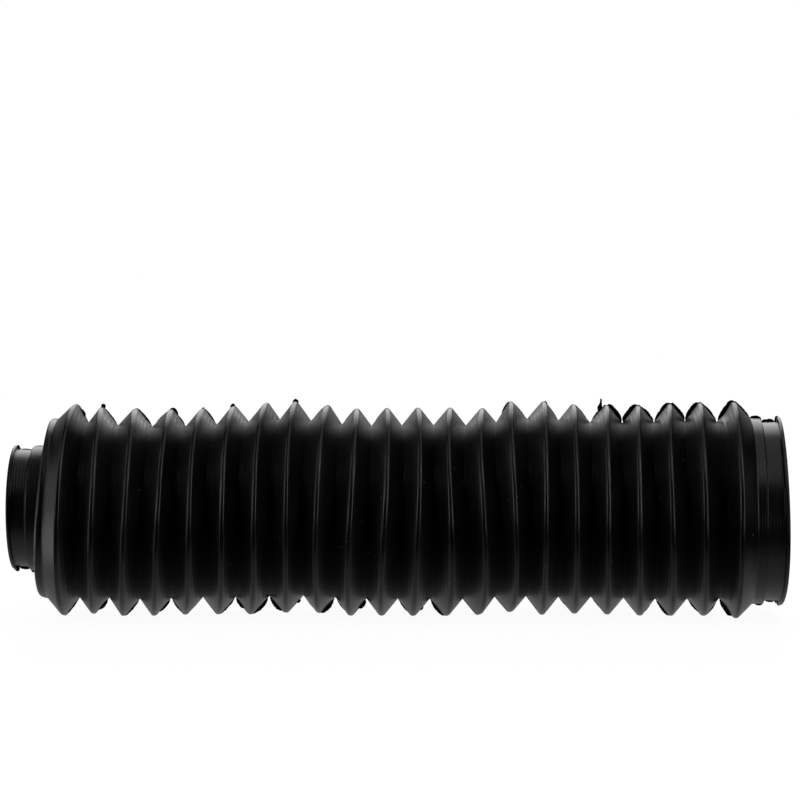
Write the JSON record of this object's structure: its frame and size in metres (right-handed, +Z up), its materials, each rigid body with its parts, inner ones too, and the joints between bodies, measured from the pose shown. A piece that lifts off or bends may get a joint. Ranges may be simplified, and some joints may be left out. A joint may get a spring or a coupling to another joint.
{
  "type": "fork gaiter",
  "caption": "Moulded black rubber fork gaiter for a motorbike, a long bellows with a small cuff and a large cuff, lying on its side",
  "frame": {"origin": "below the middle of the gaiter's length, on the bench it lies on", "axes": "+X from the small cuff towards the large cuff, +Z up from the bench, the viewer on the -Y side"},
  "size_m": [0.23, 0.0654, 0.064],
  "materials": {
    "rubber": "satin, as moulded, with fine turned lines on the cuffs"
  },
  "bodies": {
    "root": {"gaiter": "rubber"}
  },
  "joints": []
}
